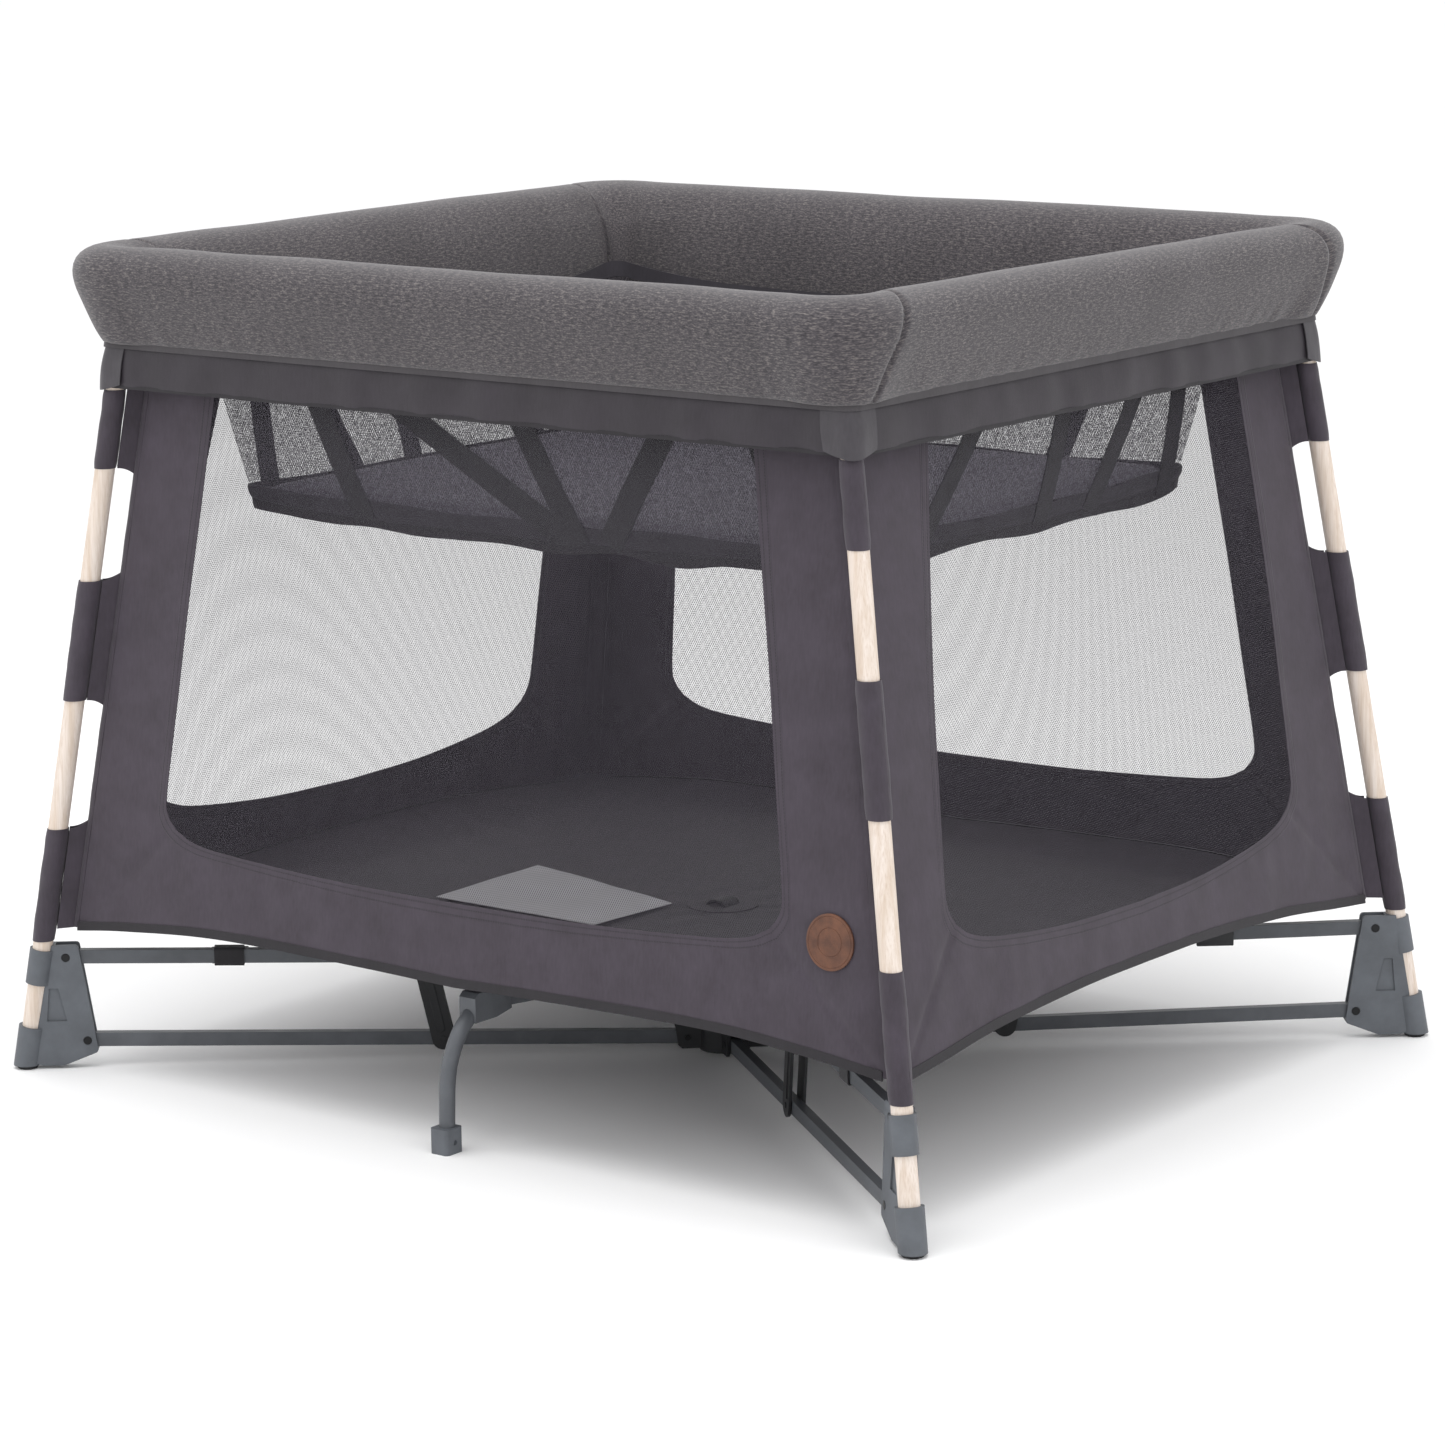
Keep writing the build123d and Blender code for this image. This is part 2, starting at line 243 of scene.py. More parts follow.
# %% Melange group
def make_melange():
    tree, given, out = new_group(
        "melange_yarn",
        [("Place", "Vector", None), ("Dark", "Color", (0, 0, 0, 1)),
         ("Middle", "Color", (0.5, 0.5, 0.5, 1)), ("Light", "Color", (1, 1, 1, 1))],
        [("Color", "Color"), ("Height", "Float")])
    yarn = noise_at(tree, stretch(tree, given["Place"], (150.0, 1000.0, 1.0)), 1.0, 2.0, 0.7)
    fleck = noise_at(tree, stretch(tree, given["Place"], (430.0, 1900.0, 1.0)), 1.0, 1.0)
    broad = noise_at(tree, given["Place"], 14.0, 3.0)
    tone = maths(tree, "ADD", maths(tree, "MULTIPLY", yarn, 0.62),
                 maths(tree, "MULTIPLY", fleck, 0.38))
    base = mix(tree, ramp(tree, tone, 0.30, 0.56), given["Dark"], given["Middle"])
    flecked = mix(tree, ramp(tree, tone, 0.50, 0.72), base, given["Light"])
    shaded = mix(tree, ramp(tree, broad, 0.3, 0.7, 0.0, 0.22), flecked, given["Dark"])
    tree.links.new(shaded, out["Color"])
    tree.links.new(tone, out["Height"])
    return tree


MELANGE = make_melange()
print("made", MELANGE.name)

# %% [markdown]
# ## Effect: netting
# The windows are a fine black net. Its holes are cut with Alpha: two sets of slanting
# threads cross, and what lies between them lets the light through.

# %% Netting group
def make_netting():
    tree, given, out = new_group(
        "fine_netting",
        [("Place", "Vector", None), ("Threads", "Float", 2600.0), ("Cover", "Float", 0.22),
         ("Scribble", "Float", 0.0)],
        [("Alpha", "Float")])
    part = node(tree, "SeparateXYZ", {"Vector": given["Place"]}).outputs
    flat = maths(tree, "ADD", part[0], part[1])
    lines = []
    for slant in (0.58, -0.58):
        run = maths(tree, "ADD", flat, maths(tree, "MULTIPLY", part[2], slant))
        wave = maths(tree, "SINE", maths(tree, "MULTIPLY", run, given["Threads"]))
        lines.append(maths(tree, "MULTIPLY_ADD", wave, 0.5, 0.5))
    both = maths(tree, "MULTIPLY", lines[0], lines[1])
    share = maths(tree, "MULTIPLY_ADD", both, 0.9, -0.225)
    loops = ramp(tree, noise_at(tree, given["Place"], 420.0, 2.0), 0.35, 0.65, -0.5, 0.5)
    even = maths(tree, "ADD", given["Cover"], maths(tree, "MULTIPLY", share, 0.85))
    tree.links.new(maths(tree, "ADD", even, maths(tree, "MULTIPLY", loops, given["Scribble"])),
                   out["Alpha"])
    return tree


NETTING = make_netting()
print("made", NETTING.name)

# %% [markdown]
# ## Effect: moulded and coated surfaces
# Plastic and powder coat have a fine pebble grain and faint cloudy gloss. The same group
# serves both, with its own grain size in each material.

# %% Grain group
def make_grain():
    tree, given, out = new_group(
        "fine_grain",
        [("Place", "Vector", None), ("Grain", "Float", 900.0), ("Tint", "Color", (1, 1, 1, 1)),
         ("Gloss", "Float", 0.5)],
        [("Color", "Color"), ("Roughness", "Float"), ("Height", "Float")])
    pebble = noise_at(tree, given["Place"], given["Grain"], 2.0)
    smudge = noise_at(tree, given["Place"], 30.0, 4.0, 0.6)
    darker = mix(tree, 0.25, given["Tint"], (0, 0, 0, 1))
    tree.links.new(mix(tree, ramp(tree, smudge, 0.35, 0.65), darker, given["Tint"]),
                   out["Color"])
    tree.links.new(maths(tree, "ADD", given["Gloss"], ramp(tree, smudge, 0.3, 0.7, -0.06, 0.08)),
                   out["Roughness"])
    tree.links.new(pebble, out["Height"])
    return tree


GRAIN = make_grain()
print("made", GRAIN.name)

# %% [markdown]
# ## Materials for the soft goods
# A cloth material takes its colour and thread height from the weave group, adds a soft
# sheen, and where the piece has stitched edges draws two rows of stitches from the UV
# map, whose first number is the distance from the edge in metres.

# %% Cloth materials
THREADS = 5200.0  # radians of thread wave in a metre: about 0.8 threads to a millimetre


def linear(code):
    def one(value):
        value /= 255
        return value / 12.92 if value <= 0.04045 else ((value + 0.055) / 1.055) ** 2.4
    return tuple(one(int(code[i:i + 2], 16)) for i in (0, 2, 4)) + (1.0,)


def new_material(name, roughness=0.6, sheen=0.0, metallic=0.0, specular=0.5):
    made = bpy.data.materials.new(name)
    made.use_nodes = True
    tree = made.node_tree
    shader = tree.nodes["Principled BSDF"]
    shader.inputs["Roughness"].default_value = roughness
    shader.inputs["Metallic"].default_value = metallic
    shader.inputs["Sheen Weight"].default_value = sheen
    shader.inputs["Sheen Roughness"].default_value = 0.5
    shader.inputs["Specular IOR Level"].default_value = specular
    return made, tree, shader


def bump(tree, shader, height, strength, distance, under=None):
    values = {"Height": height, "Strength": strength, "Distance": distance}
    if under is not None:
        values["Normal"] = under
    made = node(tree, "Bump", values)
    tree.links.new(made.outputs["Normal"], shader.inputs["Normal"])


def stitch_rows(tree, rows, pitch=0.0034):
    """Mask of dashes at the given distances from a piece's edge, from its UV map."""
    part = node(tree, "SeparateXYZ", {"Vector": node(tree, "UVMap").outputs["UV"]}).outputs
    dash = maths(tree, "LESS_THAN", maths(tree, "FRACT", maths(tree, "DIVIDE", part[1], pitch)),
                 0.7)
    total = None
    for row in rows:
        near = ramp(tree, maths(tree, "ABSOLUTE", maths(tree, "SUBTRACT", part[0], row)),
                    0.0004, 0.0011, 1.0, 0.0)
        total = near if total is None else maths(tree, "MAXIMUM", total, near)
    return maths(tree, "MULTIPLY", total, dash), part[0]


def cloth(name, dark, light, rows=(), roughness=0.72, sheen=0.12, threads=THREADS):
    made, tree, shader = new_material(name, roughness, sheen, specular=0.3)
    place = node(tree, "TexCoord").outputs["Object"]
    weave = use(tree, WEAVE, Place=place, Threads=threads, Dark=linear(dark),
                Light=linear(light))
    colour, height = weave["Color"], weave["Height"]
    if rows:
        stitches, beside = stitch_rows(tree, rows)
        colour = mix(tree, maths(tree, "MULTIPLY", stitches, 0.55), colour,
                     (0.012, 0.011, 0.013, 1))
        fold = ramp(tree, beside, 0.0125, 0.0140, 1.0, 0.0)
        height = maths(tree, "ADD", maths(tree, "MULTIPLY", height, 0.25),
                       maths(tree, "SUBTRACT", maths(tree, "MULTIPLY", fold, 2.5),
                             maths(tree, "MULTIPLY", stitches, 3.0)))
    tree.links.new(colour, shader.inputs["Base Color"])
    bump(tree, shader, height, 0.35, 0.0004)
    return made


def rim_cloth(name, dark, middle, light):
    made, tree, shader = new_material(name, 0.88, 0.25, specular=0.2)
    place = node(tree, "UVMap").outputs["UV"]
    yarn = use(tree, MELANGE, Place=place, Dark=linear(dark), Middle=linear(middle),
               Light=linear(light))
    tree.links.new(yarn["Color"], shader.inputs["Base Color"])
    bump(tree, shader, yarn["Height"], 0.4, 0.0005)
    return made


def net(name, cover, threads, scribble=0.0):
    made, tree, shader = new_material(name, 0.7, 0.0, specular=0.2)
    shader.inputs["Base Color"].default_value = linear("454249")
    place = node(tree, "TexCoord").outputs["Object"]
    holes = use(tree, NETTING, Place=place, Threads=threads, Cover=cover,
                Scribble=scribble)
    tree.links.new(holes["Alpha"], shader.inputs["Alpha"])
    return made


CHARCOAL = cloth("charcoal_cloth", "332e34", "463f49")
WALL_CLOTH = cloth("wall_cloth", "342e35", "463f49", rows=(0.0045, 0.0115))
BAND_CLOTH = cloth("band_cloth", "272328", "342f36", roughness=0.46, sheen=0.05)
POCKET_CLOTH = cloth("pocket_cloth", "373438", "48454a", roughness=0.55)
HEM_CLOTH = cloth("hem_cloth", "1f1d20", "2b282d")
TAPE_CLOTH = cloth("tape_cloth", "3b383b", "4b484b")
INSERT_CLOTH = cloth("insert_cloth", "28252a", "353239")
MATTRESS_CLOTH = cloth("mattress_cloth", "3a3640", "46424e")
WEBBING = cloth("webbing", "1d1c1f", "2d2b2f", roughness=0.6)
RIM_CLOTH = rim_cloth("rim_melange", "2a282b", "504c50", "807a76")
NET = net("window_net", 0.315, 2600.0)
INSERT_NET = net("insert_net", 0.42, 2100.0, 0.55)
print("cloths", len(bpy.data.materials))

# %% [markdown]
# ## Materials for the hard parts
# The legs are beech, pale and straight grained. Brackets are blue-grey moulded plastic,
# the star frame is powder coated, and the hub, bolts and pads are black.

# %% Hard materials
def moulded(name, tint, gloss, grain, depth, metallic=0.0):
    made, tree, shader = new_material(name, gloss, metallic=metallic, specular=0.45)
    place = node(tree, "TexCoord").outputs["Object"]
    made_of = use(tree, GRAIN, Place=place, Grain=grain, Tint=linear(tint), Gloss=gloss)
    tree.links.new(made_of["Color"], shader.inputs["Base Color"])
    tree.links.new(made_of["Roughness"], shader.inputs["Roughness"])
    rounded = node(tree, "Bevel", {"Radius": 0.0008}, samples=4).outputs["Normal"]
    bump(tree, shader, made_of["Height"], 0.25, depth, rounded)
    return made


def beech(name):
    made, tree, shader = new_material(name, 0.5, specular=0.35)
    place = node(tree, "TexCoord").outputs["Object"]
    fibre = noise_at(tree, stretch(tree, place, (900.0, 900.0, 22.0)), 1.0, 3.0, 0.6)
    ring = noise_at(tree, stretch(tree, place, (160.0, 160.0, 3.5)), 1.0, 2.0)
    colour = mix(tree, ramp(tree, ring, 0.35, 0.68), linear("e0d5cc"), linear("cfbfb0"))
    colour = mix(tree, ramp(tree, fibre, 0.45, 0.75, 0.0, 0.5), colour, linear("b79f8a"))
    tree.links.new(colour, shader.inputs["Base Color"])
    tree.links.new(ramp(tree, fibre, 0.3, 0.7, 0.44, 0.6), shader.inputs["Roughness"])
    bump(tree, shader, fibre, 0.2, 0.0002)
    return made


def leather(name):
    made, tree, shader = new_material(name, 0.5, specular=0.4)
    place = node(tree, "TexCoord").outputs["Object"]
    pore = node(tree, "TexVoronoi", {"Vector": place, "Scale": 900.0}).outputs["Distance"]
    patina = noise_at(tree, place, 60.0, 5.0, 0.65)
    colour = mix(tree, ramp(tree, patina, 0.35, 0.7), linear("4f3022"), linear("6e4733"))
    tree.links.new(colour, shader.inputs["Base Color"])
    tree.links.new(ramp(tree, patina, 0.3, 0.7, 0.4, 0.58), shader.inputs["Roughness"])
    bump(tree, shader, pore, 0.3, 0.0003)
    return made


BEECH = beech("beech_leg")
GREY = moulded("grey_moulding", "5e6268", 0.55, 1300.0, 0.00015)
BLACK = moulded("black_moulding", "232427", 0.5, 1300.0, 0.00015)
BOLT = moulded("black_bolt", "1c1c1e", 0.38, 500.0, 0.0001, 0.5)
RUBBER = moulded("rubber_pad", "2a2a2c", 0.8, 1600.0, 0.0002)
COAT = moulded("coated_bar", "5c5f64", 0.45, 1800.0, 0.00012, 0.2)
RAIL = moulded("rail_metal", "85878a", 0.4, 1800.0, 0.0001, 0.8)
LEATHER = leather("badge_leather")
FINISHES = {"wood_wrap": BEECH, "grey_plastic": GREY, "black_plastic": BLACK,
            "bolt_steel": BOLT, "pad_rubber": RUBBER, "bar_metal": COAT, "rail_metal": RAIL,
            "shell_fabric": CHARCOAL, "floor_fabric": CHARCOAL, "webbing": WEBBING,
            "insert_fabric": INSERT_CLOTH, "mattress_fabric": MATTRESS_CLOTH}

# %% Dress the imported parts
def dress_nodes():
    for part in frame["record"]["subparts"]:
        piece = frame["nodes"][part["node"]]
        finish = FINISHES[part["material_slot"]]
        if not piece.material_slots:
            piece.data.materials.append(finish)
        for at in piece.material_slots:
            at.material = finish
    return len(frame["record"]["subparts"])


print("packed parts dressed", dress_nodes())

# %% [markdown]
# ## A cloth sheet from a grid
# Every fabric piece starts as a flat grid. Each point is then put where the cloth hangs
# by a small rule of two numbers, across and along. The sheet gets its thickness from
# Solidify, and its UV map is in metres so that stitches keep their size.

# %% Sheet helper
def lift_out(piece, outward):
    """Turns the faces over where they look away from the given outward direction."""
    if outward is None:
        return
    total = sum(f.normal.dot(outward(f.center)) * f.area for f in piece.data.polygons)
    if total < 0:
        piece.data.flip_normals()


def solidify(piece, thickness):
    bpy.context.view_layer.objects.active = piece
    wall = piece.modifiers.new("thickness", "SOLIDIFY")
    wall.thickness, wall.offset, wall.use_even_offset = thickness, -1.0, True
    bpy.ops.object.modifier_apply(modifier=wall.name)


def weld(piece, reach=0.00002):
    bpy.ops.object.mode_set(mode="EDIT")
    bpy.ops.mesh.select_all(action="SELECT")
    bpy.ops.mesh.remove_doubles(threshold=reach)
    bpy.ops.object.mode_set(mode="OBJECT")


def cloth_grid(name, across, along, place, outward, material, thickness=0.0012,
               closed=False, measure=None):
    bpy.ops.object.select_all(action="DESELECT")
    bpy.ops.mesh.primitive_grid_add(x_subdivisions=across, y_subdivisions=along, size=2)
    piece = bpy.context.object
    piece.name = piece.data.name = name
    spots = [((v.co.x + 1) / 2, (v.co.y + 1) / 2) for v in piece.data.vertices]
    for vertex, (u, v) in zip(piece.data.vertices, spots):
        vertex.co = place(u, v)
    chart = piece.data.uv_layers.active.data
    for loop in piece.data.loops:
        u, v = spots[loop.vertex_index]
        chart[loop.index].uv = measure(u, v) if measure else (u, v)
    if closed:
        weld(piece)
    piece.data.update()
    lift_out(piece, outward)
    if thickness:
        solidify(piece, thickness)
    piece.data.materials.clear()
    piece.data.materials.append(material)
    bpy.ops.object.shade_smooth_by_angle(angle=math.radians(50))
    return piece


def curve_through(points, share):
    """A point on the smooth curve through the given points, share from 0 to 1 by length."""
    gaps = [math.dist(a, b) for a, b in zip(points, points[1:])]
    left = share * sum(gaps)
    for at, gap in enumerate(gaps):
        if left <= gap or at == len(gaps) - 1:
            break
        left -= gap
    t = min(1.0, left / gap)
    p1, p2 = points[at], points[at + 1]
    p0 = points[at - 1] if at else [2 * a - b for a, b in zip(p1, p2)]
    p3 = points[at + 2] if at + 2 < len(points) else [2 * b - a for a, b in zip(p1, p2)]
    out = []
    for a, b, c, d in zip(p0, p1, p2, p3):
        out.append(0.5 * (2 * b + (c - a) * t + (2 * a - 5 * b + 4 * c - d) * t * t
                          + (3 * b - 3 * c + d - a) * t ** 3))
    return out


LEG_FOOT_X, LEG_FOOT_Y = 0.550, 0.4516  # leg axis at the ground
LEAN_X, LEAN_Y = 0.148571, 0.086143  # metres inward for each metre up
ARM = math.atan2(LEG_FOOT_Y, LEG_FOOT_X)  # bearing of the star frame's bars


def leg_x(z):
    return LEG_FOOT_X - LEAN_X * z


def leg_y(z):
    return LEG_FOOT_Y - LEAN_Y * z


def ripple(x, y, z, size):
    return noise.noise(Vector((x * size, y * size, z * size)))


def carry(piece, body):
    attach(piece, body)
    return piece


def draw_in(piece):
    """Gives the piece its own copy of its mesh."""
    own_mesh(piece)


def upward(at):
    return Vector((0, 0, 1))


print("sheet helper ready")

# %% [markdown]
# ## Padded rim
# The rim is a fat foam roll that hides the top rails. Its outline bulges outward, and it
# turns each corner in a short arc with a sewn seam at the middle. Each leg carries its
# corner and half of two sides.

# %% Rim outline
RIM_AX, RIM_AY, RIM_ARC = 0.43337, 0.38398, 0.055
RIM_OUTLINE = [(0.0165, 0.7430), (0.0215, 0.7440), (0.0300, 0.7560), (0.0420, 0.7800),
               (0.0515, 0.8020), (0.0530, 0.8180), (0.0460, 0.8310), (0.0310, 0.8385),
               (0.0130, 0.8385), (-0.0040, 0.8310), (-0.0170, 0.8140), (-0.0260, 0.7880),
               (-0.0310, 0.7500), (-0.0320, 0.7010), (-0.0285, 0.7000), (-0.0260, 0.7480),
               (-0.0195, 0.7900), (-0.0080, 0.8140), (0.0120, 0.8250), (0.0290, 0.8230),
               (0.0370, 0.8120), (0.0300, 0.7880), (0.0200, 0.7620), (0.0165, 0.7430)]
RIM_ROUND, RIM_AROUND = 0.30, 84


def rim_skin(x, y, nx, ny, share, from_seam=1.0, flare=0.0):
    """A point of the rim over the rail point (x, y), whose outward direction is (nx, ny)."""
    d, z = curve_through(RIM_OUTLINE, share)
    outer = max(0.0, 1 - abs(share - 0.26) / 0.30)
    d += 0.0022 * outer * ripple(x, y, z * 1.4, 11)
    z += 0.0016 * outer * ripple(x, y, z + 3, 9)
    near_corner = math.exp(-((abs(x) - RIM_AX) ** 2 + (abs(y) - RIM_AY) ** 2) / 0.02)
    hem = math.exp(-((z - 0.752) / 0.012) ** 2) * (1 if d > 0 else 0)
    d += 0.0021 * hem * (0.35 + near_corner) * ripple(x * 5, y * 5, z, 13)
    inner = 1.0 if d < -0.02 and share < 0.62 else 0.0
    d -= 0.0016 * inner * near_corner * (1 + ripple(x * 4, y * 4, z, 12))
    if share < 0.50 or d > 0.012:
        d += flare * (0.021 + 0.006 * max(0.0, 1 - share / 0.15)) * min(1.0, (d + 0.03) / 0.045)
    if from_seam < 1 and share < 0.62:
        crease = math.exp(-(from_seam / 0.0022) ** 2)
        d -= (0.0045 if share < 0.42 else -0.0022) * crease
        z -= 0.0028 * crease * (share > 0.12)
    return Vector((x + nx * d, y + ny * d, z))


def rim_place(corner, part):
    sx, sy = CORNERS[corner]
    straight = RIM_AX - RIM_ARC if part == "long" else RIM_AY - RIM_ARC

    def long_half(u, v):
        return rim_skin(sx * straight * v, sy * RIM_AY, 0, sy, u)

    def short_half(u, v):
        return rim_skin(sx * RIM_AX, sy * straight * v, sx, 0, u)

    def turn(u, v):
        angle = math.radians(90 * v)
        nx, ny = sx * math.sin(angle), sy * math.cos(angle)
        base_x = sx * (RIM_AX - RIM_ARC) + nx * RIM_ARC
        base_y = sy * (RIM_AY - RIM_ARC) + ny * RIM_ARC
        seam = math.radians(77 - 20 * max(0.0, 1 - u / 0.22))
        return rim_skin(base_x, base_y, nx, ny, u, abs(angle - seam) * 0.09,
                        math.sin(2 * angle) ** 2)
    return {"long": long_half, "short": short_half, "turn": turn}[part]


print("rim outline", len(RIM_OUTLINE), "points")

# %% Make the rim
RIM_TURN = 0.15  # length of cloth round one corner


def rim_metres(corner, part):
    sx, sy = CORNERS[corner]
    if part == "turn":
        return lambda u, v: (sx * sy * v * RIM_TURN + 3.0 * sx, u * RIM_ROUND)
    half = RIM_AX - RIM_ARC if part == "long" else RIM_AY - RIM_ARC
    side = sx if part == "long" else sy
    return lambda u, v: (side * v * half + (0 if part == "long" else 7.0), u * RIM_ROUND)


def make_rim(corner):
    made = []
    for part, steps in (("long", 110), ("short", 98), ("turn", 96)):
        piece = cloth_grid(f"rim_{part}_{corner}", RIM_AROUND, steps, rim_place(corner, part),
                           None, RIM_CLOTH, thickness=0, measure=rim_metres(corner, part))
        weld(piece)
        top = max(piece.data.polygons, key=lambda f: f.center.z)
        if top.normal.z < 0:
            piece.data.flip_normals()
        carry(piece, f"leg_{corner}")
        made.append(piece)
    long_half, short_half, turn = made
    draw_in(long_half)
    draw_in(short_half)
    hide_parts(f"fabric_corner_{corner}")
    return len(made)


print("rim pieces", sum(make_rim(corner) for corner in CORNERS))

# %% [markdown]
# ## Tape and band under the rim
# A flat tape closes the rim's lower edge, and a smooth band below it covers the heads of
# the walls. Both run outside the leg tops, so they turn the corner round the leg.

# %% Band and tape
def ring_place(corner, part, low, high, away, sway=0.0):
    """A strip outside the leg tops; away is its distance from the leg axis."""
    sx, sy = CORNERS[corner]

    def place(u, v):
        z = low + (high - low) * u
        d = away(u) if callable(away) else away
        if part == "long":
            x, y, nx, ny = sx * leg_x(z) * v, sy * leg_y(z), 0, sy
        elif part == "short":
            x, y, nx, ny = sx * leg_x(z), sy * leg_y(z) * v, sx, 0
        else:
            angle = math.radians(90 * v)
            nx, ny = sx * math.sin(angle), sy * math.cos(angle)
            x, y = sx * leg_x(z), sy * leg_y(z)
        d += sway * ripple(x, y, z * 0.35, 30)
        return Vector((x + nx * d, y + ny * d, z))
    return place


def outward_of(corner, part):
    sx, sy = CORNERS[corner]
    return lambda at: Vector({"long": (0, sy, 0), "short": (sx, 0, 0),
                              "turn": (sx, sy, 0)}[part])


def make_ring(label, corner, low, high, away, sway, material, thickness):
    for part, steps in (("long", 90), ("short", 80), ("turn", 14)):
        piece = cloth_grid(f"{label}_{part}_{corner}", 10, steps,
                           ring_place(corner, part, low, high, away, sway),
                           outward_of(corner, part), material, thickness)
        carry(piece, f"leg_{corner}")
        if part == "long":
            draw_in(piece)
        if part == "short":
            draw_in(piece)


def band_away(u):
    return 0.0130 + 0.0016 * math.sin(math.pi * u) - 0.001 * (1 - u)


for corner in CORNERS:
    make_ring("band", corner, 0.7010, 0.7420, band_away, 0.0024, BAND_CLOTH, 0.0012)
    make_ring("rim_tape", corner, 0.7385, 0.7500, 0.0172, 0.0006, TAPE_CLOTH, 0.0012)
    make_ring("band_hem", corner, 0.6985, 0.7022, 0.0122, 0.0012, HEM_CLOTH, 0.0016)
print("band, tape and hem made")

# %% [markdown]
# ## Side walls
# A wall hangs just inside the legs. Each half is one strip of cloth that runs from the
# middle of the hem, round the window's lower corner and up beside the leg. The netting
# fills the window, and a rounded corner strip joins the two walls behind the leg.

# %% Wall outlines
WALL_IN, WALL_TURN = 0.0155, 0.015  # wall face inside the leg axis; radius of its corner
WALL_FOOT, WALL_TOP = 0.1460, 0.750
EDGE_IN = WALL_IN + WALL_TURN
LONG_WINDOW = ([(0, 0.2385), (0.15, 0.2400), (0.290, 0.2470), (0.340, 0.2530), (0.366, 0.2640)],
               [(0.366, 0.2640), (0.3770, 0.2780), (0.3790, 0.3000), (0.3680, 0.3900),
                (0.3560, 0.4900), (0.3420, 0.5900), (0.3290, 0.6900), (0.3220, 0.7500)])
SHORT_WINDOW = ([(0, 0.2255), (0.12, 0.2290), (0.225, 0.2400), (0.270, 0.2510), (0.292, 0.2640)],
                [(0.292, 0.2640), (0.3020, 0.2800), (0.3035, 0.3050), (0.2985, 0.3900),
                 (0.2935, 0.4700), (0.2820, 0.5800), (0.2680, 0.6900), (0.2610, 0.7500)])
LONG_EDGE = [(0, 0.1610), (0.129, 0.1640), (0.305, 0.1650), (0.430, 0.1560), (0.4975, 0.1480)]
SHORT_EDGE = [(0, 0.1710), (0.109, 0.1700), (0.250, 0.1630), (0.350, 0.1520), (0.4084, 0.1460)]


def window_point(is_long, sy, section, share):
    lines = LONG_WINDOW if is_long else SHORT_WINDOW
    a, z = curve_through(lines[section], share)
    if not is_long:
        a += sy * (0.0265 * (z - 0.27) / 0.42 - 0.011) * min(1.0, a / 0.25)
    return a, z


def edge_point(is_long, section, share):
    if section == 0:
        return curve_through(LONG_EDGE if is_long else SHORT_EDGE, share)
    low = (LONG_EDGE if is_long else SHORT_EDGE)[-1][1]
    z = low + (WALL_TOP - low) * share
    return ((leg_x(z) if is_long else leg_y(z)) - EDGE_IN, z)


def on_wall(is_long, corner, a, z, out=0.0):
    sx, sy = CORNERS[corner]
    side = (leg_y(z) if is_long else leg_x(z)) - WALL_IN + out
    if is_long:
        return Vector((sx * a, sy * side, z))
    return Vector((sx * side, sy * a, z))


def face_out(is_long, corner):
    sx, sy = CORNERS[corner]
    return lambda at: Vector((0, sy, 0)) if is_long else Vector((sx, 0, 0))


print("wall outlines ready")

# %% Wall strips
BOTTOM_SHARE = 0.44  # of the strip, the part below the window


def strip_ends(is_long, corner, v):
    """Where the strip starts, at the window, and ends, at the wall's edge."""
    section = 0 if v < BOTTOM_SHARE else 1
    share = v / BOTTOM_SHARE if section == 0 else (v - BOTTOM_SHARE) / (1 - BOTTOM_SHARE)
    return (window_point(is_long, CORNERS[corner][1], section, share),
            edge_point(is_long, section, share))


def strip_place(is_long, corner):
    def place(u, v):
        (a0, z0), (a1, z1) = strip_ends(is_long, corner, v)
        a, z = a0 + (a1 - a0) * u, z0 + (z1 - z0) * u
        mitre = math.exp(-((v - BOTTOM_SHARE) / 0.006) ** 2)
        inside = min(1.0, u * 8) * min(1.0, (1 - u) * 8)
        out = 0.0012 * inside * ripple(a, z, 5 if is_long else 9, 12)
        out += 0.0010 * inside * ripple(a * 3, z, 2, 14) * math.exp(-((z - 0.2) / 0.09) ** 2)
        out -= 0.0016 * mitre * min(1.0, u * 12) + 0.0008 * math.exp(-((u - 1) / 0.02) ** 2)
        return on_wall(is_long, corner, a, z, out)
    return place


def strip_metres(is_long, corner):
    def measure(u, v):
        (a0, z0), (a1, z1) = strip_ends(is_long, corner, v)
        return u * math.hypot(a1 - a0, z1 - z0), v
    return measure


def gather(piece, is_long, corner):
    """The half wall stays sewn to its leg: the leg carries it, and it gets its own mesh."""
    carry(piece, f"leg_{corner}")
    if is_long:
        draw_in(piece)
    else:
        draw_in(piece)


def make_strip(is_long, corner):
    name = "wall_long" if is_long else "wall_short"
    piece = cloth_grid(f"{name}_{corner}", 26, 150, strip_place(is_long, corner),
                       face_out(is_long, corner), WALL_CLOTH, 0.0010,
                       measure=strip_metres(is_long, corner))
    gather(piece, is_long, corner)


for corner in CORNERS:
    make_strip(True, corner)
    make_strip(False, corner)
print("wall strips made")

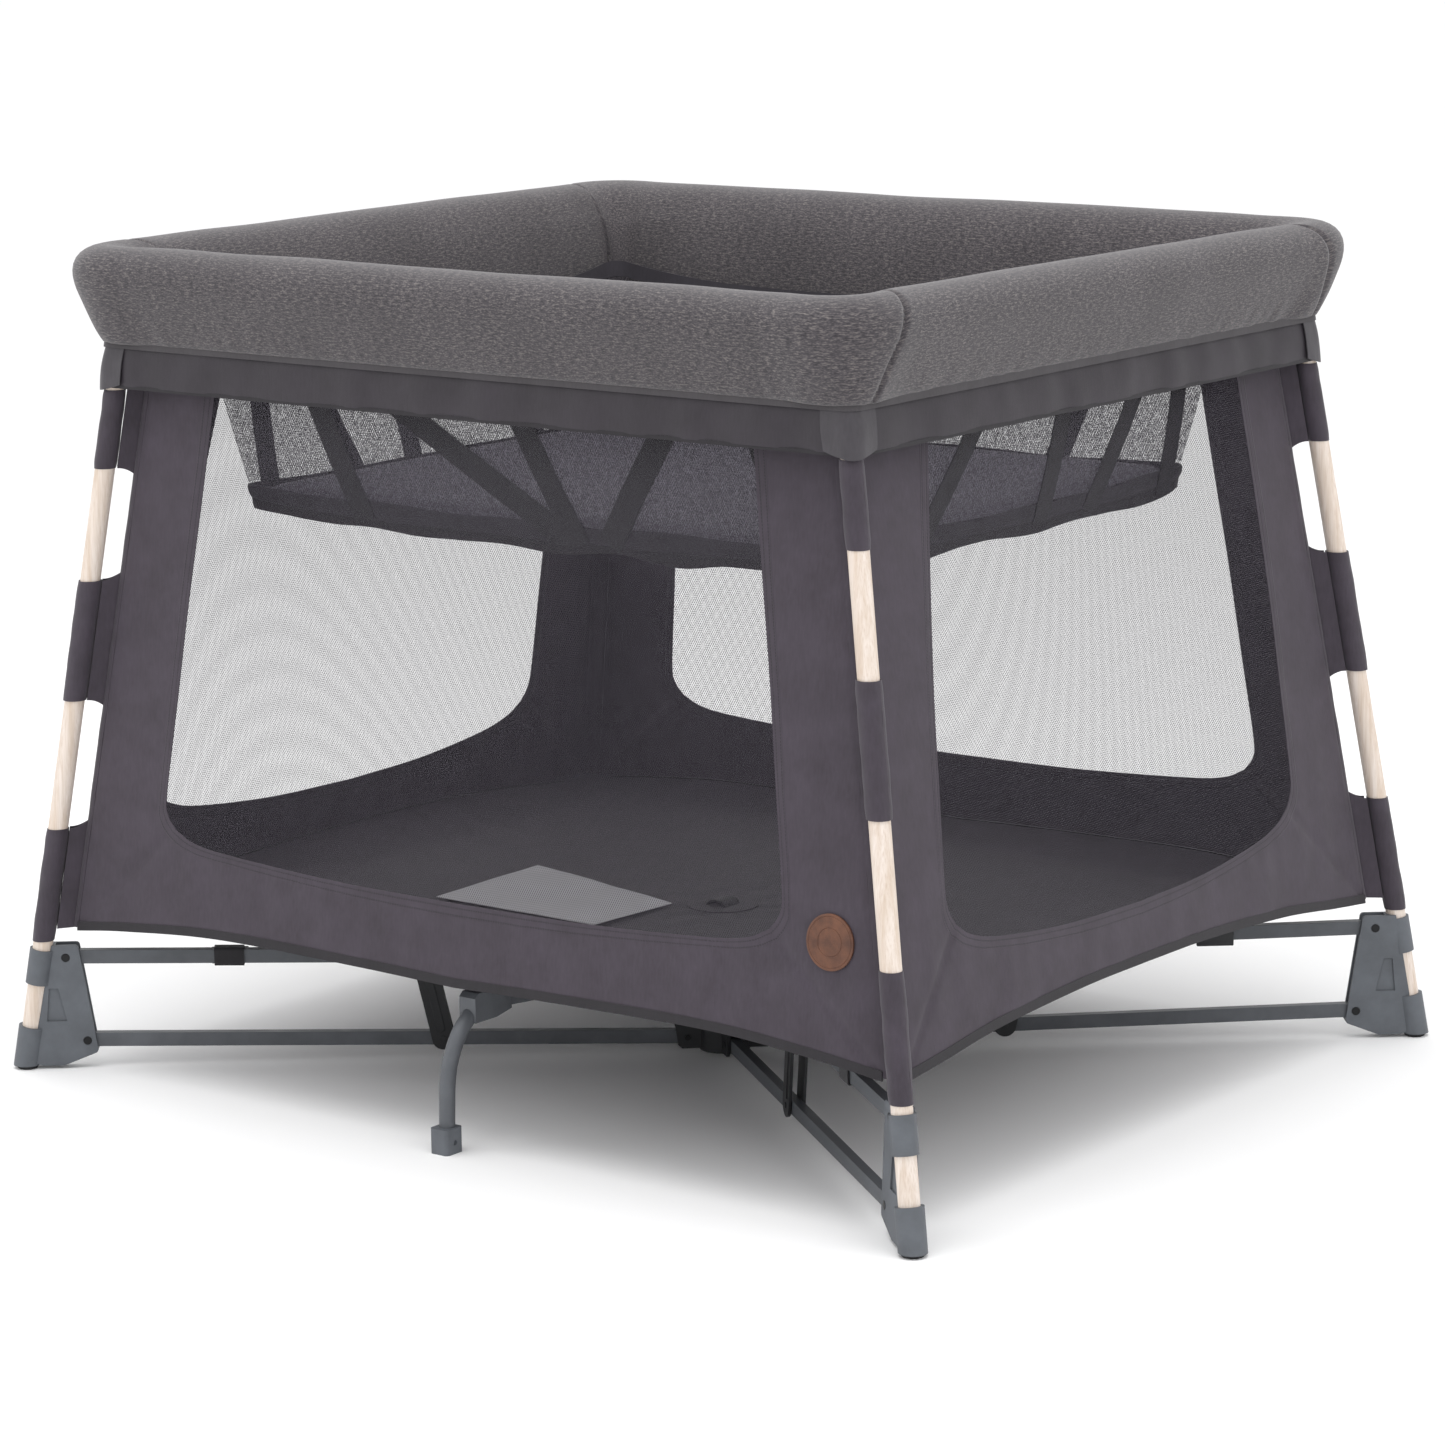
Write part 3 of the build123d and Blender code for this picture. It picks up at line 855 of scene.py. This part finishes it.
# %% Windows
def window_place(is_long, corner):
    sy = CORNERS[corner][1]

    def place(u, v):
        bottom = window_point(is_long, sy, 0, u)
        side = window_point(is_long, sy, 1, v)
        first = window_point(is_long, sy, 0, 0.0)
        last = window_point(is_long, sy, 0, 1.0)
        head = window_point(is_long, sy, 1, 1.0)
        top = (head[0] * u, WALL_TOP)
        left = (0.0, first[1] + (WALL_TOP - first[1]) * v)
        a = ((1 - v) * bottom[0] + v * top[0] + (1 - u) * left[0] + u * side[0]
             - (u * (1 - v) * last[0] + u * v * head[0]))
        z = ((1 - v) * bottom[1] + v * top[1] + (1 - u) * left[1] + u * side[1]
             - ((1 - u) * (1 - v) * first[1] + (1 - u) * v * WALL_TOP + u * (1 - v) * last[1]
                + u * v * WALL_TOP))
        free = math.sin(math.pi * v) * min(1.0, 5 * (1 - u))
        out = -0.0004 + 0.0012 * free * ripple(a, z, 7, 5)
        return on_wall(is_long, corner, a, z, out)
    return place


for corner in CORNERS:
    for is_long in (True, False):
        name = "net_long" if is_long else "net_short"
        piece = cloth_grid(f"{name}_{corner}", 40, 50, window_place(is_long, corner),
                           face_out(is_long, corner), NET, thickness=0)
        gather(piece, is_long, corner)
print("windows made")

# %% [markdown]
# ## Rounded corner, sleeves and fins
# The two walls meet in a rounded corner just inside the leg. Three sleeves on each leg
# hold it: each is a tube of cloth with a short double fin sewn into the corner, and the
# pale leg shows between them.

# %% Wall corners
SLEEVES = ((0.134, 0.2505, 0.0116), (0.3825, 0.5040, 0.0123), (0.6170, 0.6955, 0.0114))


def corner_place(corner):
    sx, sy = CORNERS[corner]

    def place(u, v):
        z = WALL_FOOT + (WALL_TOP - WALL_FOOT) * v
        angle = math.radians(90 * u)
        r = WALL_TURN - 0.0006 * (1 + ripple(sx, sy, z * 3, 12))
        cx, cy = leg_x(z) - EDGE_IN, leg_y(z) - EDGE_IN
        return Vector((sx * (cx + r * math.sin(angle)), sy * (cy + r * math.cos(angle)),
                       z + 0.002 * (1 - u) * (1 - v)))
    return place


def sleeve_place(corner, low, high, radius):
    sx, sy = CORNERS[corner]

    def place(u, v):
        angle = 2 * math.pi * u
        z = low + (high - low) * v
        ends = math.exp(-(v / 0.05) ** 2) + math.exp(-((1 - v) / 0.05) ** 2)
        r = radius + 0.0005 * ripple(math.cos(angle) + sx, math.sin(angle) + sy, z * 28, 1.3)
        r += 0.0005 * ripple(angle, sx + sy, z * 60, 1.0) - 0.0006 * ends
        return Vector((sx * leg_x(z) + r * math.cos(angle), sy * leg_y(z) + r * math.sin(angle),
                       z))
    return place


def fin_place(corner, low, high, side):
    sx, sy = CORNERS[corner]

    def place(u, v):
        flare = 0.007 * u * u
        z = (low - flare) + (high - low + 2 * flare) * v
        z = max(z, 0.1475) if low < 0.2 else min(z, 0.742)
        step = 0.0085 + 0.0125 * u
        off = side * (0.0016 + 0.0030 * (1 - u))
        return Vector((sx * (leg_x(z) - step) + off * sy, sy * (leg_y(z) - step) - off * sx, z))
    return place


def around_leg(corner):
    sx, sy = CORNERS[corner]
    return lambda at: Vector((at.x - sx * leg_x(at.z), at.y - sy * leg_y(at.z), 0))


def make_wall_corner(corner):
    sx, sy = CORNERS[corner]
    made = [cloth_grid(f"wall_corner_{corner}", 12, 90, corner_place(corner),
                       lambda at: Vector((sx, sy, 0)), CHARCOAL, 0.0010)]
    for at, (low, high, radius) in enumerate(SLEEVES):
        made.append(cloth_grid(f"sleeve_{at}_{corner}", 32, 26,
                               sleeve_place(corner, low, high, radius), around_leg(corner),
                               CHARCOAL, 0.0010, closed=True))
        for side in (-1, 1):
            face = Vector((side * sy, -side * sx, 0))
            made.append(cloth_grid(f"fin_{at}_{'ab'[side > 0]}_{corner}", 8, 20,
                                   fin_place(corner, low, high, side), lambda at, f=face: f,
                                   CHARCOAL, 0.0009))
    for piece in made:
        carry(piece, f"leg_{corner}")


for corner in CORNERS:
    make_wall_corner(corner)
print("wall corners, sleeves and fins made")

# %% [markdown]
# ## Pocket over each leg top
# A small pocket of the band's cloth caps the top of each leg. Its lower edge dips at the
# middle, and it stands a little proud of the band.

# %% Leg pockets
def pocket_place(corner):
    sx, sy = CORNERS[corner]

    def place(u, v):
        spread = (v - 0.5) * 2
        z = 0.7425 - (0.0470 - 0.0070 * spread * spread) * u
        d = 0.0152 + 0.0016 * math.sin(math.pi * u) + 0.0009 * ripple(spread, z * 20, sx + sy, 2)
        reach = 0.019 * max(0.0, abs(spread) - 0.5) / 0.5
        turn = math.radians(45 + 45 * max(-1.0, min(1.0, spread / 0.5)))
        nx, ny = sx * math.sin(turn), sy * math.cos(turn)
        x, y = sx * leg_x(z) + nx * d, sy * leg_y(z) + ny * d
        if spread > 0.5:
            y -= sy * reach
        if spread < -0.5:
            x -= sx * reach
        return Vector((x, y, z))
    return place


for corner, (sx, sy) in CORNERS.items():
    piece = cloth_grid(f"leg_pocket_{corner}", 14, 40, pocket_place(corner),
                       lambda at, f=Vector((sx, sy, 0)): f, POCKET_CLOTH, 0.0012)
    carry(piece, f"leg_{corner}")
print("leg pockets made")

# %% [markdown]
# ## Hem binding
# A dark, folded binding runs along the lower edge of every wall.

# %% Hem bindings
def hem_place(is_long, corner):
    def place(u, v):
        a, z = edge_point(is_long, 0, v)
        return on_wall(is_long, corner, a, z - 0.003 + 0.009 * u, 0.0008)
    return place


for corner in CORNERS:
    for is_long in (True, False):
        name = "hem_long" if is_long else "hem_short"
        piece = cloth_grid(f"{name}_{corner}", 3, 60, hem_place(is_long, corner),
                           face_out(is_long, corner), HEM_CLOTH, 0.0030)
        gather(piece, is_long, corner)
print("hems made")

# %% [markdown]
# ## Floor
# The floor cloth is stitched in at the foot of the walls and rests over the upper bars.
# It is laid as four quarters that meet edge to edge, so each can follow the bar under it.

# %% Floor quarters
FLOOR_X, FLOOR_Y, FLOOR_Z = 0.5080, 0.4200, 0.1535


def floor_place(corner):
    sx, sy = CORNERS[corner]

    def place(u, v):
        angle = math.radians(90 * u)
        near = (0.033 * math.cos(angle), 0.033 * math.sin(angle))
        far = (FLOOR_X, FLOOR_Y * 2 * u) if u < 0.5 else (FLOOR_X * 2 * (1 - u), FLOOR_Y)
        x, y = (near[0] + (far[0] - near[0]) * v, near[1] + (far[1] - near[1]) * v)
        rest = min(1.0, 9 * (1 - v))
        z = FLOOR_Z + 0.0012 * rest * ripple(sx * x, sy * y, 3, 7)
        pull = math.exp(-(math.hypot(x, y) - 0.04) ** 2 / 0.003)
        z += 0.0022 * pull * rest * ripple(sx * x * 4, sy * y * 4, 1, 12)
        along_long = far[1] == FLOOR_Y
        hem = curve_through(LONG_EDGE, min(1.0, far[0] / 0.5)) if along_long else curve_through(
            SHORT_EDGE, min(1.0, far[1] / 0.41))
        rise = max(0.0, (v - 0.80) / 0.20)
        z += (max(hem[1], 0.151) + 0.0045 - FLOOR_Z) * rise * rise
        return Vector((sx * x, sy * y, z))
    return place


def patch_place(u, v):
    """The round cloth patch over the hub, which the pull strap comes through."""
    x, y = 0.036 * v * math.cos(2 * math.pi * u), 0.036 * v * math.sin(2 * math.pi * u)
    return Vector((x, y, FLOOR_Z + 0.0015 + 0.002 * (1 - v) * ripple(x * 4, y * 4, 1, 14)))


carry(cloth_grid("floor_patch", 36, 10, patch_place, upward, CHARCOAL, 0.0012, closed=True),
      "hub")

for corner, (sx, sy) in CORNERS.items():
    piece = cloth_grid(f"floor_{corner}", 64, 56, floor_place(corner), upward, CHARCOAL, 0.0016)
    carry(piece, f"upper_arm_{corner}")
    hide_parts(f"floor_quarter_{corner}")
    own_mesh(piece)
print("floor made")

# %% Blank label on the floor
LABEL = ((-0.256, -0.148), (-0.047, -0.151), (-0.039, -0.034), (-0.261, 0.022))


def label_place(u, v):
    near = [a + (b - a) * u for a, b in zip(LABEL[0], LABEL[1])]
    far = [a + (b - a) * u for a, b in zip(LABEL[3], LABEL[2])]
    x, y = [a + (b - a) * v for a, b in zip(near, far)]
    return Vector((x, y, FLOOR_Z + 0.0042 + 0.0010 * ripple(x, y, 3, 14)))


LABEL_CLOTH = cloth("label_cloth", "cfcdd2", "e2e0e4")
piece = cloth_grid("floor_label", 34, 24, label_place, upward, LABEL_CLOTH, 0.0008)
carry(piece, "upper_arm_fl")
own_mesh(piece)
print("label made")

# %% [markdown]
# ## Bassinet insert
# The insert hangs inside the rim. It has a cloth tub with a thin mattress, mesh sides,
# a taped top edge, and flat webbing straps that run down its sides in long V shapes.

# %% Insert outline
TUB_X, TUB_Y, TUB_LOW, TUB_TOP, TUB_ROUND = 0.357, 0.307, 0.5735, 0.7400, 0.020


def tub_half(z):
    share = (z - TUB_LOW) / (TUB_TOP - TUB_LOW)
    return TUB_X + 0.036 * share, TUB_Y + 0.029 * share


def round_loop(share, half_x, half_y, radius):
    """A point on a rounded rectangle and its outward direction, share from 0 to 1."""
    runs = [half_y * 2 - radius * 2, radius * math.pi / 2, half_x * 2 - radius * 2,
            radius * math.pi / 2] * 2
    left = (share % 1.0) * sum(runs)
    for at, run in enumerate(runs):
        if left <= run or at == 7:
            break
        left -= run
    quarter = at // 2
    turn = math.radians(90 * quarter)
    hx, hy = (half_x, half_y) if quarter % 2 == 0 else (half_y, half_x)
    if at % 2 == 0:
        x, y, nx, ny = hx, -hy + radius + left, 1.0, 0.0
    else:
        a = left / radius
        x = hx - radius + radius * math.cos(a)
        y = hy - radius + radius * math.sin(a)
        nx, ny = math.cos(a), math.sin(a)
    c, s = math.cos(turn), math.sin(turn)
    return c * x - s * y, s * x + c * y, c * nx - s * ny, s * nx + c * ny


def tub_hang(x, y):
    """The tub's lower edge lifts at its corners and sags between them."""
    return 0.011 * (abs(x) / TUB_X) ** 4 * (abs(y) / TUB_Y) ** 4 - 0.0015


def insert_wall(low, high, out=0.0, wave=0.0):
    def place(u, v):
        z = low + (high - low) * u
        hx, hy = tub_half(z)
        x, y, nx, ny = round_loop(v, hx, hy, TUB_ROUND)
        z += tub_hang(x, y) - wave * (1 - u) * (0.5 + ripple(x, y, 1, 13))
        d = out + 0.0012 * ripple(x, y, z, 16)
        return Vector((x + nx * d, y + ny * d, z))
    return place


def from_middle(at):
    return Vector((at.x, at.y, 0))


def to_insert(piece):
    return carry(piece, "insert")


print("insert outline ready")

# %% Tub, mesh sides and top tape
def tub_place(u, v):
    z = TUB_LOW
    if u < 0.7:
        share = u / 0.7
        hx, hy = tub_half(z)
        x, y, _, _ = round_loop(v, hx, hy, TUB_ROUND)
        sag = 0.0020 * ripple(x * share, y * share, 2, 10) * share
        hang = tub_hang(x, y) * max(0.0, (share - 0.8) / 0.2)
        return Vector((x * share, y * share, z + 0.0005 + hang + abs(sag) * (1 - share)))
    rise = (u - 0.7) / 0.3
    z = TUB_LOW + 0.020 * rise
    hx, hy = tub_half(z)
    x, y, nx, ny = round_loop(v, hx, hy, TUB_ROUND)
    d = 0.0024 * math.sin(math.pi * rise) + 0.0010 * ripple(x, y, z, 22)
    z += tub_hang(x, y) * (1 - 0.6 * rise)
    return Vector((x + nx * d, y + ny * d, z + 0.003 * rise * ripple(x, y, 5, 11)))


tub = cloth_grid("insert_tub", 40, 220, tub_place, lambda at: Vector((at.x, at.y, -2)),
                 INSERT_CLOTH, 0.0012, closed=True)
to_insert(tub)
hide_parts("insert_shell")
to_insert(cloth_grid("insert_mesh", 18, 220, insert_wall(0.591, TUB_TOP), from_middle,
                     INSERT_NET, thickness=0, closed=True))
to_insert(cloth_grid("insert_piping", 3, 220, insert_wall(0.5700, 0.5765, 0.0018, 0.006),
                     from_middle, HEM_CLOTH, 0.0030, closed=True))
to_insert(cloth_grid("insert_tape", 3, 220, insert_wall(0.7250, 0.7405, 0.0012),
                     from_middle, INSERT_CLOTH, 0.0022, closed=True))
print("tub, mesh, piping and tape made")

# %% Webbing straps of the insert
FRONT_STRAPS = (((-0.241, 0.705), (-0.194, 0.574)), ((-0.150, 0.705), (0.068, 0.573)),
                ((0.013, 0.705), (0.073, 0.573)), ((0.200, 0.705), (0.109, 0.577)),
                ((0.295, 0.705), (0.335, 0.577)))
SIDE_STRAPS = (((-0.095, 0.705), (-0.170, 0.573)), ((0.045, 0.705), (0.040, 0.573)),
               ((0.180, 0.705), (0.125, 0.573)), ((0.250, 0.705), (0.262, 0.573)))
STRAP_WIDE = 0.026


def strap_place(top, low, side, is_front):
    lean = math.hypot(low[0] - top[0], low[1] - top[1])
    cross = ((low[1] - top[1]) / lean, -(low[0] - top[0]) / lean)

    def place(u, v):
        a = top[0] + (low[0] - top[0]) * v + cross[0] * STRAP_WIDE * (u - 0.5)
        z = top[1] + (low[1] - top[1]) * v + cross[1] * STRAP_WIDE * (u - 0.5)
        z = max(z, 0.571)
        hx, hy = tub_half(z)
        d = (hy if is_front else hx) + 0.0032 + 0.0018 * math.sin(math.pi * v)
        return Vector((a, side * d, z) if is_front else (side * d, a, z))
    return place


def make_straps():
    made = 0
    for is_front, rows in ((True, FRONT_STRAPS), (False, SIDE_STRAPS)):
        for side in (-1, 1):
            mirror = 1 if (side < 0) == is_front else -1
            for top, low in rows:
                top, low = (top[0] * mirror, top[1]), (low[0] * mirror, low[1])
                kind = "end" if is_front else "side"
                face = Vector((0, side, 0)) if is_front else Vector((side, 0, 0))
                piece = cloth_grid(f"insert_strap_{made:02d}", 4, 24,
                                   strap_place(top, low, side, is_front), lambda at, f=face: f,
                                   WEBBING, 0.0014)
                to_insert(piece)
                made += 1
    return made


print("straps", make_straps())

# %% [markdown]
# ## Mattress
# The thin mattress is padded: full in the middle, pulled in at its sewn edge. A closed
# crowned form with a piped edge gives that.

# %% Mattress
PAD_X, PAD_Y, PAD_LOW, PAD_THICK, PAD_ROUND = 0.350, 0.300, 0.5775, 0.0225, 0.018


def mattress_place(u, v):
    share = 2 * u if u < 0.5 else 2 - 2 * u
    x, y, _, _ = round_loop(v, PAD_X, PAD_Y, PAD_ROUND)
    bulge = math.sqrt(max(0.0, 1 - share ** 10))
    z = PAD_LOW + PAD_THICK / 2 + (PAD_THICK / 2) * bulge * (1 if u > 0.5 else -1)
    if u > 0.5:
        z += 0.0012 * ripple(x * share, y * share, 4, 12) * (1 - share ** 6)
    return Vector((x * share, y * share, z))


pad = cloth_grid("mattress", 60, 200, mattress_place,
                 lambda at: Vector((at.x, at.y, at.z - 0.588)), MATTRESS_CLOTH, thickness=0,
                 closed=True)
to_insert(pad)
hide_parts("insert_mattress")
print("mattress made")

# %% [markdown]
# ## Sheets
# The nets, the short wall strips and the floor quarters are declared as stretched sheets.
# Their flat sizes were measured from the panels themselves, and each area is the cut's.

# %% Sheets
print("no sheets made")

# %% [markdown]
# ## Small parts
# A webbing loop on the hub folds the frame. Black clips hold the floor to the upper bars.
# A round leather badge, kept blank apart from embossed rings, is sewn near a corner.

# %% Pull strap and clips
LOOP = [(0.0135, 0.1200), (0.0140, 0.1400), (0.0132, 0.1530), (0.0085, 0.1595), (0.0, 0.1610),
        (-0.0085, 0.1595), (-0.0132, 0.1530), (-0.0140, 0.1400), (-0.0135, 0.1200)]


def loop_place(u, v):
    x, z = curve_through(LOOP, v)
    return Vector((x, 0.024 * (u - 0.5), z))


piece = cloth_grid("hub_strap", 6, 60, loop_place, lambda at: Vector((at.x, 0, at.z - 0.13)),
                   WEBBING, 0.0018)
carry(piece, "hub")
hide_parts("pull_strap")


def bar_point(corner, radius, aside, z):
    sx, sy = CORNERS[corner]
    c, s = math.cos(ARM), math.sin(ARM)
    return Vector((sx * (radius * c - aside * s), sy * (radius * s + aside * c), z))


def clip_place(corner):
    """A strap that wraps once round the upper bar."""
    def place(u, v):
        angle = 2 * math.pi * v
        wide = 0.0072 * max(-1, min(1, 1.35 * math.cos(angle)))
        tall = 0.0094 * max(-1, min(1, 1.35 * math.sin(angle)))
        radius = 0.487 + 0.030 * u
        middle = 0.1044 + (radius - 0.057) / 0.610 * 0.0116
        return bar_point(corner, radius, wide, middle + tall)
    return place


def around_bar(corner):
    return lambda at: Vector((0, 0, at.z - 0.1135))


def add_buckle(corner):
    """A small moulded clip below the strap, a bevelled block."""
    sx, sy = CORNERS[corner]
    bpy.ops.object.select_all(action="DESELECT")
    bpy.ops.mesh.primitive_cube_add(size=1)
    piece = bpy.context.object
    piece.name = f"floor_clip_{corner}"
    for vertex in piece.data.vertices:
        vertex.co = Vector((vertex.co.x * 0.038, vertex.co.y * 0.005, vertex.co.z * 0.017))
    bpy.ops.object.mode_set(mode="EDIT")
    bpy.ops.mesh.select_all(action="SELECT")
    bpy.ops.mesh.bevel(offset=0.0012, segments=2, affect="EDGES")
    bpy.ops.object.mode_set(mode="OBJECT")
    turn = Matrix.Rotation(math.atan2(sy * math.sin(ARM), sx * math.cos(ARM)), 4, "Z")
    centre = bar_point(corner, 0.502, -0.0108, 0.1105)
    piece.data.transform(Matrix.Translation(centre) @ turn)
    piece.data.materials.append(BLACK)
    bpy.ops.object.shade_smooth_by_angle(angle=math.radians(40))
    return piece


for corner in CORNERS:
    strap = cloth_grid(f"floor_strap_{corner}", 4, 28, clip_place(corner), around_bar(corner),
                       WEBBING, 0.0014, closed=True)
    for piece, name in ((strap, "webbing"), (add_buckle(corner), "black_plastic")):
        carry(piece, f"upper_arm_{corner}")
print("strap loop and clips made")

# %% Leather badge
def make_badge(corner, a, z, radius=0.026):
    bpy.ops.object.select_all(action="DESELECT")
    bpy.ops.mesh.primitive_cylinder_add(vertices=64, radius=radius, depth=0.0016)
    piece = bpy.context.object
    piece.name = "badge"
    bpy.ops.object.mode_set(mode="EDIT")
    bpy.ops.mesh.select_all(action="DESELECT")
    bpy.ops.object.mode_set(mode="OBJECT")
    front = max(piece.data.polygons, key=lambda f: f.center.z)
    front.select = True
    bpy.ops.object.mode_set(mode="EDIT")
    for thickness, depth in ((0.0007, 0.0003), (0.0012, 0.0), (0.0006, -0.0004), (0.0006, 0.0004),
                             (0.0090, 0.0), (0.0008, -0.0005), (0.0008, 0.0005)):
        bpy.ops.mesh.inset(thickness=thickness, depth=depth)
    bpy.ops.object.mode_set(mode="OBJECT")
    face = Vector((0, CORNERS[corner][1], LEAN_Y)).normalized()
    turn = face.to_track_quat("Z", "Y").to_matrix().to_4x4()
    centre = on_wall(True, corner, a, z, 0.0016)
    piece.data.transform(Matrix.Translation(centre) @ turn)
    piece.data.materials.append(LEATHER)
    bpy.ops.object.shade_smooth_by_angle(angle=math.radians(30))
    carry(piece, f"leg_{corner}")


make_badge("fr", 0.436, 0.262)
print("badge made")
